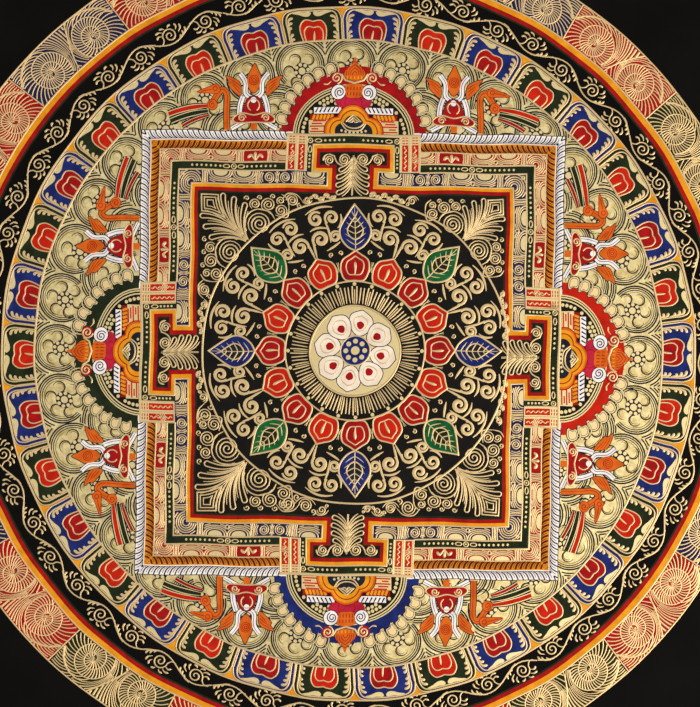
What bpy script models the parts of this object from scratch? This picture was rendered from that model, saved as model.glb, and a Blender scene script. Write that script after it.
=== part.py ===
"""A painted cotton canvas that hangs by its top edge: one sheet, its hem turned to the back.

Metres, +Z up. The painted face looks towards -Y. The origin is the middle of the top edge.
"""
import math

import bmesh
import bpy

# Driving dimensions
WIDTH = 0.600  # finished width, fold to fold
HEIGHT = 0.600  # finished height, top fold to bottom fold
CLOTH = 0.0012  # cotton with its ground and paint
HEM = 0.012  # width of the hem on the back
EDGE_ROUND = 0.0004  # rounding of the folds along the rim
ROUND_STEPS = 2

# Faces across and down the sheet, the hem's own strips among them
COLUMNS = 26
ROWS = 26

# Soft vertical folds that grow from the straight top edge to the bottom.
# Each row: place across, half width, depth at the bottom edge (plus is away from the viewer)
FOLDS = (
    (-0.235, 0.070, -0.0012),
    (-0.120, 0.080, 0.0016),
    (0.020, 0.085, -0.0013),
    (0.145, 0.075, 0.0017),
    (0.250, 0.060, -0.0010),
)
FOLD_GROWTH = 0.8  # how fast the folds deepen on the way down

# The set that rolling leaves: the bottom edge and its corners lift towards the viewer
CURL_REACH = 0.075  # height of the strip that lifts
CURL_LIFT = 0.0045
CORNER_REACH = 0.110
CORNER_LIFT = 0.0040

# Painted face, as the eye sees it from a step away
PAINT_COLOUR = (0.055, 0.045, 0.028, 1.0)
PAINT_ROUGHNESS = 0.7


def line(index, count, length):
    """Where a grid line lies: the outer strips are as wide as the hem, the others are even."""
    if index in (0, count):
        return length * index / count
    return HEM + (length - 2 * HEM) * (index - 1) / (count - 2)


def rise(distance, reach):
    """0 beyond the reach, growing smoothly to 1 at no distance."""
    return max(0.0, 1.0 - distance / reach) ** 2


def hang(x, z):
    """How far behind the plane of its top edge the cloth hangs at this place."""
    down = -z / HEIGHT
    folds = sum(depth * math.exp(-(((x - place) / width) ** 2)) for place, width, depth in FOLDS)
    to_bottom = HEIGHT + z
    to_side = WIDTH / 2 - abs(x)
    curl = CURL_LIFT * rise(to_bottom, CURL_REACH)
    corner = CORNER_LIFT * rise(math.hypot(to_bottom, to_side), CORNER_REACH)
    return folds * down**FOLD_GROWTH - curl - corner


def flat_sheet():
    """The canvas laid flat, one cloth thick, its face at -Y."""
    sheet = bmesh.new()
    bmesh.ops.create_grid(sheet, x_segments=COLUMNS, y_segments=ROWS, size=0.5)
    for point in sheet.verts:
        column = round((point.co.x + 0.5) * COLUMNS)
        row = round((0.5 - point.co.y) * ROWS)
        point.co = (
            line(column, COLUMNS, WIDTH) - WIDTH / 2,
            -CLOTH / 2,
            -line(row, ROWS, HEIGHT),
        )
    face = sheet.faces[:]
    back = bmesh.ops.extrude_face_region(sheet, geom=face, use_keep_orig=True)["geom"]
    moved = [part for part in back if isinstance(part, bmesh.types.BMVert)]
    bmesh.ops.translate(sheet, verts=moved, vec=(0, CLOTH, 0))
    return sheet


def in_hem(face):
    """True for a face of the sheet's back that the hem covers."""
    middle = face.calc_center_median()
    on_back = all(abs(point.co.y - CLOTH / 2) < CLOTH / 10 for point in face.verts)
    to_side = WIDTH / 2 - abs(middle.x)
    to_end = min(-middle.z, HEIGHT + middle.z)
    return on_back and min(to_side, to_end) < HEM


def turn_hem(sheet):
    """Lays the hem's second thickness on the back, all the way round."""
    strip = [face for face in sheet.faces if in_hem(face)]
    turned = bmesh.ops.extrude_face_region(sheet, geom=strip)["geom"]
    bmesh.ops.delete(sheet, geom=strip, context="FACES_ONLY")
    moved = [part for part in turned if isinstance(part, bmesh.types.BMVert)]
    bmesh.ops.translate(sheet, verts=moved, vec=(0, CLOTH, 0))


def painted_canvas(collection):
    """The hemmed canvas with its folds, as one closed solid."""
    sheet = flat_sheet()
    turn_hem(sheet)
    bmesh.ops.recalc_face_normals(sheet, faces=sheet.faces[:])
    mesh = bpy.data.meshes.new("painted_canvas")
    sheet.to_mesh(mesh)
    sheet.free()
    for point in mesh.vertices:
        point.co.y += hang(point.co.x, point.co.z)
    canvas = bpy.data.objects.new("painted_canvas", mesh)
    collection.objects.link(canvas)
    rounding = canvas.modifiers.new("edge round", "BEVEL")
    rounding.width = EDGE_ROUND
    rounding.segments = ROUND_STEPS
    rounding.limit_method = "ANGLE"
    rounding.angle_limit = math.radians(60)
    canvas.data.materials.append(paint())
    return canvas


def paint():
    """Matt mineral paint over a black ground."""
    material = bpy.data.materials.new("painted cotton")
    material.use_nodes = True
    shader = material.node_tree.nodes["Principled BSDF"]
    shader.inputs["Base Color"].default_value = PAINT_COLOUR
    shader.inputs["Roughness"].default_value = PAINT_ROUGHNESS
    shader.inputs["Metallic"].default_value = 0.0
    return material


for thing in list(bpy.data.objects):
    bpy.data.objects.remove(thing, do_unlink=True)
painting = bpy.data.collections.new("thangka painting")
bpy.context.scene.collection.children.link(painting)
painted_canvas(painting)
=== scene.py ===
# %% [markdown]
# # A gold mandala on hanging canvas
# The real object is a square of cotton, sized with chalk and glue, rubbed smooth, painted black,
# and covered with mineral colours and fine raised lines of gold. It hangs by its top edge.
# The cloth could be one flat picture, but then its gold would have no body and would not catch
# the light. Here every colour field and every pull of the brush is a thin mesh on the cloth.

import math

import bmesh
import bpy
import numpy as np
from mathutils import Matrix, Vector
from mathutils.bvhtree import BVHTree


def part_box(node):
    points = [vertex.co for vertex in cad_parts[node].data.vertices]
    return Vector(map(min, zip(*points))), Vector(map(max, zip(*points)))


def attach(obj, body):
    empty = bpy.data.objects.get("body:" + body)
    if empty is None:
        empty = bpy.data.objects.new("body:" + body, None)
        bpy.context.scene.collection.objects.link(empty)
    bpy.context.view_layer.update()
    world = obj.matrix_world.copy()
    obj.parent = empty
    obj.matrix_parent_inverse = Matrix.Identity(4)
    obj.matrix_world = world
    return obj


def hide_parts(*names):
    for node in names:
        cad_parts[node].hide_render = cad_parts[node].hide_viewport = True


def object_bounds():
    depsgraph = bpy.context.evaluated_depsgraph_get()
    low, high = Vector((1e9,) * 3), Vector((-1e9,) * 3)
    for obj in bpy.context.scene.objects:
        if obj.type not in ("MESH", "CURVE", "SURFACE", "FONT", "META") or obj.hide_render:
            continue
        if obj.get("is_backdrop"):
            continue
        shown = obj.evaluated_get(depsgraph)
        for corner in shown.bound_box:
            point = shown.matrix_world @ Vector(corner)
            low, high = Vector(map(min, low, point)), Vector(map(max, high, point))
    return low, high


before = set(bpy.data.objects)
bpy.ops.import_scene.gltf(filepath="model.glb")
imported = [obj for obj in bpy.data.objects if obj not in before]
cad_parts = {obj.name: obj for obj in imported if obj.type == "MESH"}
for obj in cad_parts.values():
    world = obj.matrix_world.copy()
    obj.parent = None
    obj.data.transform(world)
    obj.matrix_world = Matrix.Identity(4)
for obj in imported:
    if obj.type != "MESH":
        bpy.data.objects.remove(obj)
cad_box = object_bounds()
CANVAS = "painted_canvas"
low, high = (np.array(corner) * 1000 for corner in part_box(CANVAS))
canvas_width, canvas_height = high[0] - low[0], high[2] - low[2]
middle_height = (high[2] + low[2]) / 2
rng = np.random.default_rng(7)
print(f"canvas {canvas_width:.0f} x {canvas_height:.0f} mm")

# %% [markdown]
# ## The drawing board
# A painter laces the canvas flat on a frame, draws the circles with a compass and then fills in
# the motifs by hand. The same is done here: all drawing is flat, in millimetres, with the origin
# at the canvas's middle. One complex number is one point, across + up * 1j, because turning,
# moving and scaling a motif is then one multiplication or addition.

# %% Points, arcs and spirals
def polar(radius, clock):
    """A point at this radius, its angle in degrees clockwise from the top."""
    turn = np.radians(clock)
    return radius * (np.sin(turn) + 1j * np.cos(turn))


def arc(centre, radius, start, end, steps):
    return centre + polar(radius, np.linspace(start, end, steps + 1))


def ring(centre, radius, steps):
    return arc(centre, radius, 0, 360 * (1 - 1 / steps), steps - 1)


def spiral(centre, outer, inner, start, turn, steps):
    """From the outer radius to the inner one, turning by so many degrees."""
    return centre + polar(np.linspace(outer, inner, steps + 1), start + np.linspace(0, turn, steps + 1))


def smooth(points, steps, closed=False):
    """A soft line through a few given points (Catmull-Rom)."""
    p = np.array(points, complex)
    p = np.concatenate([p[-1:], p, p[:2]]) if closed else np.concatenate([p[:1], p, p[-1:]])
    t = np.arange(steps) / steps
    out = []
    for a, b, c, d in zip(p, p[1:], p[2:], p[3:]):
        bow, twist = 2 * a - 5 * b + 4 * c - d, 3 * b - a - 3 * c + d
        out.append(((2 * b) + (c - a) * t + bow * t**2 + twist * t**3) / 2)
    out = np.concatenate(out)
    return out if closed else np.append(out, p[-1])


def mirrored(points):
    """The same outline on the other side of the upright axis."""
    return -np.conj(np.asarray(points))


def over(half):
    """The line goes on over the upright axis, where it has its last point, and down again."""
    return np.concatenate([half, mirrored(half)[-2::-1]])


def uneven(points):
    """The large rings are a little narrower from lower left to upper right."""
    return points - 0.0065j * np.conj(points)


def hoop(centre, radius):
    return uneven(ring(centre, radius, 180))


def oval(centre, wide, tall, steps):
    flat = ring(0j, 1, steps)
    return centre + wide * flat.real + 1j * tall * flat.imag


def on_ring(centre, radius, clock, drift=0j):
    """A bender: along + outwards * 1j on a flat strip becomes a place on a ring.

    Drift is how far the ring's centre moves for each millimetre outwards.
    """
    def bend(points):
        points = np.asarray(points, complex)
        turn = clock + np.degrees(points.real / radius)
        return uneven(centre + drift * points.imag + polar(radius + points.imag, turn))
    return bend


def runs(points, keep):
    """The stretches of a line whose points pass a test."""
    found, run = [], []
    for point in points:
        if keep(point):
            run.append(point)
        elif run:
            found.append(run)
            run = []
    return [np.array(run) for run in found + [run] if len(run) > 1]


# %% [markdown]
# ## Brush strokes and colour fields
# A gold line stands a little proud, because it is gold powder in glue laid on with a loaded
# brush. A curve swept with a low ridge gives that relief, and each point's radius is how hard
# the brush is pressed. Flat colours are filled outlines with no thickness of their own.

# %% Brushes
def stroke(points, width, start=1.0, end=1.0, closed=False):
    """One pull of the brush: its width in mm, and the share of it left at either end."""
    reach = np.linspace(0, 1, len(points))
    press = np.minimum(start + (1 - start) * reach * 3, end + (1 - end) * (1 - reach) * 3)
    return np.asarray(points, complex), width * np.minimum(press, 1), closed


def comma(points, width):
    """A loaded brush pressed down at the end of its pull: a thin tail and a round head."""
    reach = np.linspace(0, 1, len(points))
    head = np.sqrt(np.clip(1 - ((reach - 0.72) / 0.28) ** 2, 0.02, 1))
    press = np.where(reach > 0.72, head, 0.22 + 1.08 * reach)
    return np.asarray(points, complex), width * press, False


def moved(strokes, bend):
    """The same strokes, with each of their lines bent to its place."""
    return [(bend(points), widths, closed) for points, widths, closed in strokes]


def profile(name, points):
    """The cross section that a brush leaves, 1 mm wide."""
    data = bpy.data.curves.new(name, "CURVE")
    data.dimensions = "2D"
    line = data.splines.new("POLY")
    line.points.add(len(points) - 1)
    for point, (x, y) in zip(line.points, points):
        point.co = (x, y, 0, 1)
    section = bpy.data.objects.new(name, data)
    bpy.context.scene.collection.objects.link(section)
    return section


RIDGE = profile("ridge_section", [(-0.5, 0), (0, 0.25), (0.5, 0)])
LOW = profile("low_section", [(-0.5, 0), (0, 0.1), (0.5, 0)])
FLAT = profile("flat_section", [(-0.5, 0), (0.5, 0)])


def only(thing):
    """Selects one object and nothing else."""
    bpy.ops.object.select_all(action="DESELECT")
    thing.select_set(True)
    bpy.context.view_layer.objects.active = thing


SQUARE = 8.0  # mm, the widest face of a field and the longest step of a line


def even(points, widths, closed):
    """The same line in short steps, so that it can follow the cloth."""
    widths = widths * np.ones(len(points))
    if closed:
        points, widths = np.append(points, points[0]), np.append(widths, widths[0])
    parts = np.maximum(np.ceil(np.abs(np.diff(points)) / SQUARE), 1).astype(int)
    places = np.concatenate([i + np.arange(count) / count for i, count in enumerate(parts)])
    if not closed:
        places = np.append(places, len(parts))
    known = np.arange(len(points))
    return np.interp(places, known, points), np.interp(places, known, widths)


def drawing(name, outlines, section=None):
    """One flat mesh from (points, widths, closed) rows, swept with the section or filled."""
    data = bpy.data.curves.new(name, "CURVE")
    data.dimensions = "2D"
    data.fill_mode = "NONE" if section else "FRONT"
    if section:
        data.bevel_mode = "OBJECT"
        data.bevel_object = section
    for points, widths, closed in outlines:
        points, widths = even(points, widths, closed)
        line = data.splines.new("POLY")
        line.points.add(len(points) - 1)
        place = np.zeros((len(points), 4), np.float32)
        place[:, 0], place[:, 1], place[:, 3] = points.real, points.imag, 1
        line.points.foreach_set("co", place.ravel())
        line.points.foreach_set("radius", widths.astype(np.float32))
        line.use_cyclic_u = closed
    made = bpy.data.objects.new(name, data)
    bpy.context.scene.collection.objects.link(made)
    only(made)
    bpy.ops.object.convert(target="MESH")
    return bpy.context.view_layer.objects.active


def fields(name, outlines):
    """Filled outlines. Where one lies in another, it cuts a hole.

    The faces are then cut in small squares, so that a wide field can follow the cloth.
    """
    closed = [(np.asarray(outline, complex), 1, True) for outline in outlines]
    piece = drawing(name, closed)
    sheet = bmesh.new()
    sheet.from_mesh(piece.data)
    for axis, normal in enumerate((Vector((1, 0, 0)), Vector((0, 1, 0)))):
        places = [point.co[axis] for point in sheet.verts]
        for place in np.arange(math.ceil(min(places) / SQUARE) * SQUARE, max(places), SQUARE):
            everything = sheet.verts[:] + sheet.edges[:] + sheet.faces[:]
            bmesh.ops.bisect_plane(
                sheet, geom=everything, plane_co=normal * float(place), plane_no=normal
            )
    sheet.to_mesh(piece.data)
    sheet.free()
    return piece


# %% [markdown]
# ## Colours
# Thangka colours are ground minerals in thin hide glue: azurite, malachite, vermilion, red lake,
# orpiment, lamp black. They dry dead matt and slightly uneven, and the cotton's threads show
# through them only from close by. The gold is real powder, burnished on the broad grounds.

# %% Material helpers
def linear(code):
    """An sRGB hex colour as the linear values that the shader reads."""
    parts = [int(code[i : i + 2], 16) / 255 for i in (0, 2, 4)]
    return tuple(p / 12.92 if p <= 0.04045 else ((p + 0.055) / 1.055) ** 2.4 for p in parts) + (1.0,)


def node(tree, kind, inputs=None, **settings):
    """Adds one shader node, with its settings, values and links."""
    made = tree.nodes.new("ShaderNode" + kind)
    for name, value in settings.items():
        setattr(made, name, value)
    for name, value in (inputs or {}).items():
        if isinstance(value, bpy.types.NodeSocket):
            tree.links.new(value, made.inputs[name])
        else:
            made.inputs[name].default_value = value
    return made


def new_material(name):
    material = bpy.data.materials.new(name)
    material.use_nodes = True
    tree = material.node_tree
    place = node(tree, "TexCoord").outputs["Object"]
    return material, tree, tree.nodes["Principled BSDF"], place


def noise(tree, place, size_mm, detail, **more):
    """Soft patches of about this size, as values from 0 to 1."""
    inputs = {"Vector": place, "Scale": 1000 / size_mm, "Detail": detail, **more}
    return node(tree, "TexNoise", inputs).outputs["Fac"]


def patchy(tree, shader, value, low, deep, high, tone):
    """Two tones of one colour: the deep one where the value is low, the other where it is high."""
    mix = node(tree, "ValToRGB", {"Fac": value})
    for stop, place, code in zip(mix.color_ramp.elements, (low, high), (deep, tone)):
        stop.position, stop.color = place, linear(code)
    tree.links.new(mix.outputs["Color"], shader.inputs["Base Color"])


def dull(tree, shader, value, low, high):
    spread = node(tree, "MapRange", {"Value": value, "To Min": low, "To Max": high})
    tree.links.new(spread.outputs["Result"], shader.inputs["Roughness"])


def raised(tree, shader, height, strength, depth):
    relief = node(tree, "Bump", {"Height": height, "Strength": strength, "Distance": depth})
    tree.links.new(relief.outputs["Normal"], shader.inputs["Normal"])


THREAD = 0.0007  # one cotton thread and its gap
WAVE_TO_SCALE = 0.314  # a wave texture's period is this over its scale


def weave(tree, place):
    """Threads over and under, as a height."""
    size = {"Vector": place, "Scale": WAVE_TO_SCALE / THREAD}
    across, along = (node(tree, "TexWave", size, bands_direction=way).outputs["Fac"] for way in "XZ")
    return node(tree, "Math", {0: across, 1: along}, operation="MULTIPLY").outputs[0]


def mineral(name, tone, deep):
    """Matt mineral colour: thin brushed patches a little lighter and darker, threads below."""
    material, tree, shader, place = new_material(name)
    patchy(tree, shader, noise(tree, place, 7.0, 4.0), 0.32, deep, 0.68, tone)
    dull(tree, shader, noise(tree, place, 0.5, 2.0), 0.68, 0.88)
    raised(tree, shader, weave(tree, place), 0.25, 0.00005)
    shader.inputs["Specular IOR Level"].default_value = 0.12
    return material


def gold(name, tone, rough, grain_mm, grain_height, worn=None):
    """Powdered gold in glue: metal grains that lie every way, so its shine is broad and soft.

    A wide ground is rubbed unevenly, so it can have a second, worn tone.
    """
    material, tree, shader, place = new_material(name)
    grain = noise(tree, place, grain_mm, 3.0)
    dull(tree, shader, grain, rough - 0.08, rough + 0.12)
    raised(tree, shader, grain, 0.6, grain_height)
    shader.inputs["Metallic"].default_value = 0.7
    if worn:
        patchy(tree, shader, noise(tree, place, 5, 6.0, Roughness=0.7), 0.36, worn, 0.62, tone)
    else:
        shader.inputs["Base Color"].default_value = linear(tone)
    return material


# %% Palette
LAMP_BLACK = mineral("lamp black ground", "121110", "0b0a0a")
AZURITE = mineral("azurite blue", "1a2a74", "101950")
INDIGO = mineral("indigo black", "1d2333", "11141f")
MALACHITE = mineral("malachite green", "12663a", "07421f")
PINE = mineral("pine green black", "1f2a16", "121a0d")
LAKE = mineral("red lake", "a50e13", "80080d")
VERMILION = mineral("vermilion", "c22009", "a21606")
CRIMSON = mineral("crimson lac", "bb2140", "96142d")
MINIUM = mineral("minium orange", "d2671a", "b84f0d")
ORPIMENT = mineral("orpiment amber", "e29a1e", "c97f0c")
CHALK = mineral("chalk white", "f1eef1", "d6d2dc")
IVORY = mineral("ivory flesh", "ece3d8", "d8cabb")
OLIVE = mineral("olive shadow", "8d7a45", "6f5e30")
MADDER = mineral("dark madder", "5a120a", "420c06")
AMBER_ROPE = mineral("burnt amber", "cf8420", "b06a10")
SLATE = mineral("slate blue", "1c2152", "12163a")
RAISED_GOLD = gold("raised shell gold", "d0b88b", 0.42, 0.35, 0.00004)
BRIGHT_GOLD = gold("bright shell gold", "dcc08e", 0.42, 0.35, 0.00004)
GROUND_GOLD = gold("burnished gold", "dfcd9a", 0.38, 0.9, 0.00003)
LEAF_GOLD = gold("burnished gold ground", "e8daa8", 0.40, 1.6, 0.00006, worn="bda970")
SHELL_GOLD = gold("pale gold wash", "dfc797", 0.5, 0.6, 0.00003)
print(len(bpy.data.materials), "materials")

# %% [markdown]
# ## The cloth
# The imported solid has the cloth's folds in large flat faces. A copy of it, with its loose
# triangles merged to quads and subdivided, hangs in the same folds without facets. The edges of
# the rim and the hem are creased first, or subdividing would melt their corners. The front is
# painted black up to the fold, and the hem on the back is bare sized cotton.

# %% The hanging canvas
def cotton(name, patch_mm, detail, deep, tone, rough, shine, weave_depth, strength):
    """Cotton under a thin coat, with wide faint patches and its weave showing."""
    material, tree, shader, place = new_material(name)
    patchy(tree, shader, noise(tree, place, patch_mm, detail), 0.3, deep, 0.7, tone)
    raised(tree, shader, weave(tree, place), strength, weave_depth)
    shader.inputs["Roughness"].default_value = rough
    shader.inputs["Specular IOR Level"].default_value = shine
    return material


FRONT = cotton("black ground on cotton", 40, 5.0, "060606", "0b0b0b", 0.7, 0.05, 0.00006, 0.4)
BACK = cotton("sized raw cotton", 60, 6.0, "cdbf9f", "dfd4ba", 0.9, 0.2, 0.00015, 0.8)
FOLD_ANGLE = 15  # degrees, edges sharper than this are the folds of the rim and the hem


def hanging_cloth():
    only(bpy.data.objects[CANVAS])
    cloth = bpy.data.objects[CANVAS].copy()
    cloth.data = cloth.data.copy()
    cloth.name = "cloth"
    bpy.context.scene.collection.objects.link(cloth)
    only(cloth)
    bpy.ops.object.mode_set(mode="EDIT")
    bpy.ops.mesh.select_all(action="SELECT")
    bpy.ops.mesh.remove_doubles(threshold=0.00001)
    bpy.ops.mesh.tris_convert_to_quads(face_threshold=0.5, shape_threshold=0.7)
    bpy.ops.mesh.select_mode(type="EDGE")
    bpy.ops.mesh.select_all(action="DESELECT")
    bpy.ops.mesh.edges_select_sharp(sharpness=math.radians(FOLD_ANGLE))
    bpy.ops.transform.edge_crease(value=1)
    bpy.ops.transform.vert_crease(value=1)
    bpy.ops.object.mode_set(mode="OBJECT")
    fine = cloth.modifiers.new("finer", "SUBSURF")
    fine.levels = fine.render_levels = 2
    bpy.ops.object.modifier_apply(modifier=fine.name)
    bpy.ops.object.shade_smooth()
    cloth.data.materials.clear()
    for material in (FRONT, BACK):
        cloth.data.materials.append(material)
    for face in cloth.data.polygons:
        face.material_index = 0 if face.normal.y < -0.2 else 1
    return cloth


cloth = hanging_cloth()
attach(cloth, "root")
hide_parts(CANVAS)
surface = BVHTree.FromObject(cloth, bpy.context.evaluated_depsgraph_get())
print("cloth:", len(cloth.data.polygons), "faces")

# %% [markdown]
# ## Laying the paint on the cloth
# A ray from the front finds the cloth behind each point of a flat piece, and the point keeps its
# own height over it. Every coat lies a few hundredths of a millimetre over the one below.

# %% Lay a piece on the cloth
IN_FRONT = -0.1  # where the rays start, before the cloth
BAKE_MAP = "OFBake"


def waver(x, y):
    """A hand drawn line strays a third of a millimetre or so, and all coats stray together."""
    return 0.32 * np.sin(y / 8.7 + np.sin(x / 21)), 0.32 * np.sin(x / 7.9 + np.sin(y / 18))


def lay(piece, material, coat):
    """Stands the flat drawing up, puts it on the cloth and dresses it, coat mm above the cloth."""
    mesh = piece.data
    flat = np.empty(len(mesh.vertices) * 3, np.float32)
    mesh.vertices.foreach_get("co", flat)
    flat = flat.reshape(-1, 3)
    flat[:, :2] += np.transpose(waver(flat[:, 0], flat[:, 1]))
    hung = np.empty_like(flat)
    hung[:, 0] = flat[:, 0] / 1000
    hung[:, 2] = (flat[:, 1] + middle_height) / 1000
    towards = Vector((0, 1, 0))
    for i, (x, _, z) in enumerate(hung.tolist()):
        hung[i, 1] = surface.ray_cast(Vector((x, IN_FRONT, z)), towards)[0].y
    hung[:, 1] -= (np.abs(flat[:, 2]) + coat) / 1000
    mesh.vertices.foreach_set("co", hung.ravel())
    mesh.update()
    faces = bmesh.new()
    faces.from_mesh(mesh)
    bmesh.ops.reverse_faces(faces, faces=[face for face in faces.faces if face.normal.y > 0])
    plan = faces.loops.layers.uv.new(BAKE_MAP)
    for face in faces.faces:
        face.smooth = True
        for corner in face.loops:
            x, _, z = corner.vert.co
            corner[plan].uv = (x * 1000 / canvas_width + 0.5, z * 1000 / canvas_height + 1)
    faces.to_mesh(mesh)
    faces.free()
    mesh.materials.clear()
    mesh.materials.append(material)
    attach(piece, "root")
    print(piece.name, len(mesh.polygons), "faces")


class Region:
    """Collects fields and strokes by colour and coat, and lays each lot as one piece.

    A coat is given in hundredths of a millimetre over the cloth.
    """

    def __init__(self, name):
        self.name, self.lots, self.bend = name, {}, lambda points: points

    def hands(self, place):
        """Sets the bend to a place and then to its mirror image."""
        for hand in (1, -1):
            self.bend = lambda points: place(points if hand > 0 else mirrored(points))
            yield hand

    def add(self, material, coat, section, points, widths, closed):
        lot = self.lots.setdefault((material, coat / 100, section), [])
        lot.append((self.bend(np.asarray(points, complex)), widths, closed))

    def field(self, material, coat, *outlines):
        for outline in outlines:
            self.add(material, coat, None, outline, 1, True)

    def line(self, material, coat, points, *press, section=FLAT, closed=False):
        self.add(material, coat, section, *stroke(points, *press, closed=closed))

    def gold(self, coat, points, *press, section=RIDGE, closed=False):
        self.line(RAISED_GOLD, coat, points, *press, section=section, closed=closed)

    def dab(self, coat, points, width):
        self.add(RAISED_GOLD, coat, RIDGE, *comma(smooth(points, 3), width))

    def finish(self):
        for (material, coat, section), lot in self.lots.items():
            kind = "lines" if section else "fields"
            name = f"{self.name}_{material.name.split()[0]}_{kind}_{1000 * coat:.0f}"
            flat = drawing(name, lot, section) if section else fields(name, [row[0] for row in lot])
            lay(flat, material, coat)


# %% [markdown]
# ## Sizes
# All rings were struck with a compass, but the hand moved the point now and then, so each band
# has its own centre, a few millimetres apart.

# %% Centres and radii
WHEEL_CENTRE = 0j  # fire ring, middle of the canvas
BAND_CENTRE = 2.0 + 0.1j  # amber and red rings, running vine
PETAL_CENTRE = 4.7 - 0.8j  # lotus ring and clouds
PALACE_CENTRE = 5.6 - 1.6j

FIRE_OUTER, FIRE_INNER = 256.4, 230.6
AMBER_OUTER, AMBER_INNER = 230.1, 227.2
RED_INNER = 224.8
GREEN_INNER = 223.6
LOTUS_OUTER, LOTUS_INNER = 208.2, 188.4

# %% [markdown]
# ## The ring of fire
# Twenty-one flames in four colours ring the mandala. Each is a coloured block covered with gold:
# two wheels whose rims wind outwards like snails, spokes between the turns of the rims, and a
# plume that rises between the wheels and bends over both. A rule draws the strokes, so that they
# stop at the block's own edges.

# %% Fire ring
FLAMES = 21
FLAME_START = 17.9  # degrees, the first boundary clockwise from the top
FLAME_TURN = 360 / FLAMES
FLAME_COLOURS = [SLATE, LAKE, PINE, LAKE, PINE] + [SLATE, LAKE, PINE, LAKE] * 4
FLAME_WIDTH = math.radians(FLAME_TURN) * (FIRE_OUTER + FIRE_INNER) / 2
FLAME_HEIGHT = FIRE_OUTER - FIRE_INNER
RIM_START, RIM_LOSS = 13.3, 5.6  # mm, a wheel's rim at its mouth, and what it loses in a turn
MOUTH = 120  # degrees from the top of a wheel to its mouth, where the plume starts
PLUME_TOP = 125  # degrees from the mouth, where the plume reaches the block's outer edge
PLUME_END = 200  # degrees from the mouth, where its first line leaves the block
TURN_END = 328  # degrees from the mouth, where the rim's last turn is met again
SPREAD = 60  # degrees in which the plume grows e times as wide
RIM_END = 650  # degrees from the mouth, where the rim has wound in to the heart
OUTSIDE = 90  # degrees from the mouth, where spokes start to stand outside the rim
PLUME_FOOT, PLUME_SHIFT = -8, 40  # degrees from the mouth to a plume line, and to every other one
HEART = 1.5  # mm, radius of a wheel's heart
SPOKE_PITCH = 1.95  # mm between the tips of two spokes
SPOKE_WIDTH, SPOKE_GROWTH = 0.54, 0.24  # mm, at the root, and what it gains to the tip
LEAN, MORE_LEAN, PLUME_LEAN = 15, 12, 45  # degrees, of a spoke in the rim, outside it, in the plume
BEYOND, PLUME_BEYOND = 17, 14  # mm, farther out than any spoke is seen
# Each wheel: side, hub, distances of its plume lines from its rim at the mouth
WHEELS = (
    (-1, -0.25 * FLAME_WIDTH + 10j, (0.22, 0.48, 0.8, 1.2, 1.65, 2.2, 2.8, 3.5, 4.3, 5.2)),
    (1, 0.24 * FLAME_WIDTH + 9.3j, (0.2, 0.42, 0.7, 1.0, 1.35, 1.8, 2.4, 3.2, 4.2, 5.4, 6.8, 8.2)),
)


def rim(angle):
    """Radius of a wheel's winding rim, at an angle from its mouth."""
    return RIM_START - RIM_LOSS * angle / 360


def divide(height):
    """Where the plume parts to the left and the right, at a height in the block."""
    return FLAME_WIDTH * (0.17 * (height / FLAME_HEIGHT) ** 1.3 - 0.05)


def wheel_lines(side, hub, starts):
    """The gold strokes of one wheel, as far as they lie in its own part of the block."""
    def at(radius, angle):
        return hub + polar(radius, side * (angle - MOUTH))

    def plume(offset, angle):
        return RIM_START + offset * np.exp(angle / SPREAD)

    def inside(point):
        across, height = point.real, point.imag
        in_block = 0.5 < height < FLAME_HEIGHT - 0.3 and abs(across) < FLAME_WIDTH / 2 - 0.4
        return in_block and side * (across - divide(height)) > 0.3

    whorl = np.arange(TURN_END - 360, RIM_END, 8.0)
    drawn = [(at(rim(whorl), whorl), 0.65, len(whorl))]
    drawn += [(at(np.array([0.3, HEART]), 52 * k), 0.5, 2) for k in range(7)]
    swirl = LEAN + rng.normal(0, 2)

    def spokes(start, end, lean, root, tip, pitch, most):
        """Leaning spokes, one after another, a pitch apart across their own direction."""
        while start < end:
            inner, outer = root(start), tip(start)
            way = np.linspace(0, 1, math.ceil((outer - inner) / 0.7) + 2)
            path = at(inner + (outer - inner) * way, start + lean * way**1.2)
            drawn.append((path, SPOKE_WIDTH + SPOKE_GROWTH * way, most))
            slant = math.hypot(1, math.radians(lean) * inner / (outer - inner))
            start += math.degrees(pitch(inner, outer) * slant) * rng.normal(1, 0.06)

    def first(angle):
        return plume(starts[0], angle)

    def to_plume(start):
        end = start + swirl + MORE_LEAN
        return first(end) - 0.3 if end < PLUME_END else rim(start) + BEYOND

    spokes(whorl[0], RIM_END, swirl, lambda a: max(rim(a + 360), HEART), lambda a: rim(a + swirl),
           lambda inner, outer: SPOKE_PITCH / outer, 4)
    spokes(OUTSIDE, TURN_END, swirl + MORE_LEAN, rim, to_plume,
           lambda inner, outer: 0.8 * SPOKE_PITCH / inner, 5)
    spokes(PLUME_TOP, PLUME_END, PLUME_LEAN, lambda a: first(a) + 0.5, lambda a: first(a) + PLUME_BEYOND,
           lambda inner, outer: 0.75 * SPOKE_PITCH / inner, 5)
    for k, (near, far) in enumerate(zip((0.0,) + starts, starts)):
        angle = np.arange(PLUME_SHIFT * (k % 2) + PLUME_FOOT, PLUME_TOP if k else PLUME_END, 2.0)
        widths = np.clip(0.5 * (plume(far, angle) - plume(near, angle)), 0.45, 1.2)
        drawn.append((at(plume(far, angle), angle), widths, 12))
    strokes = []
    for path, widths, most in drawn:
        pairs = np.stack([path, widths * np.ones(len(path))], axis=1)
        for run in runs(pairs, lambda pair: inside(pair[0])):
            run = run[np.unique(np.linspace(0, len(run) - 1, most).astype(int))]
            strokes.append((run[:, 0], run[:, 1].real, False))
    return strokes


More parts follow.
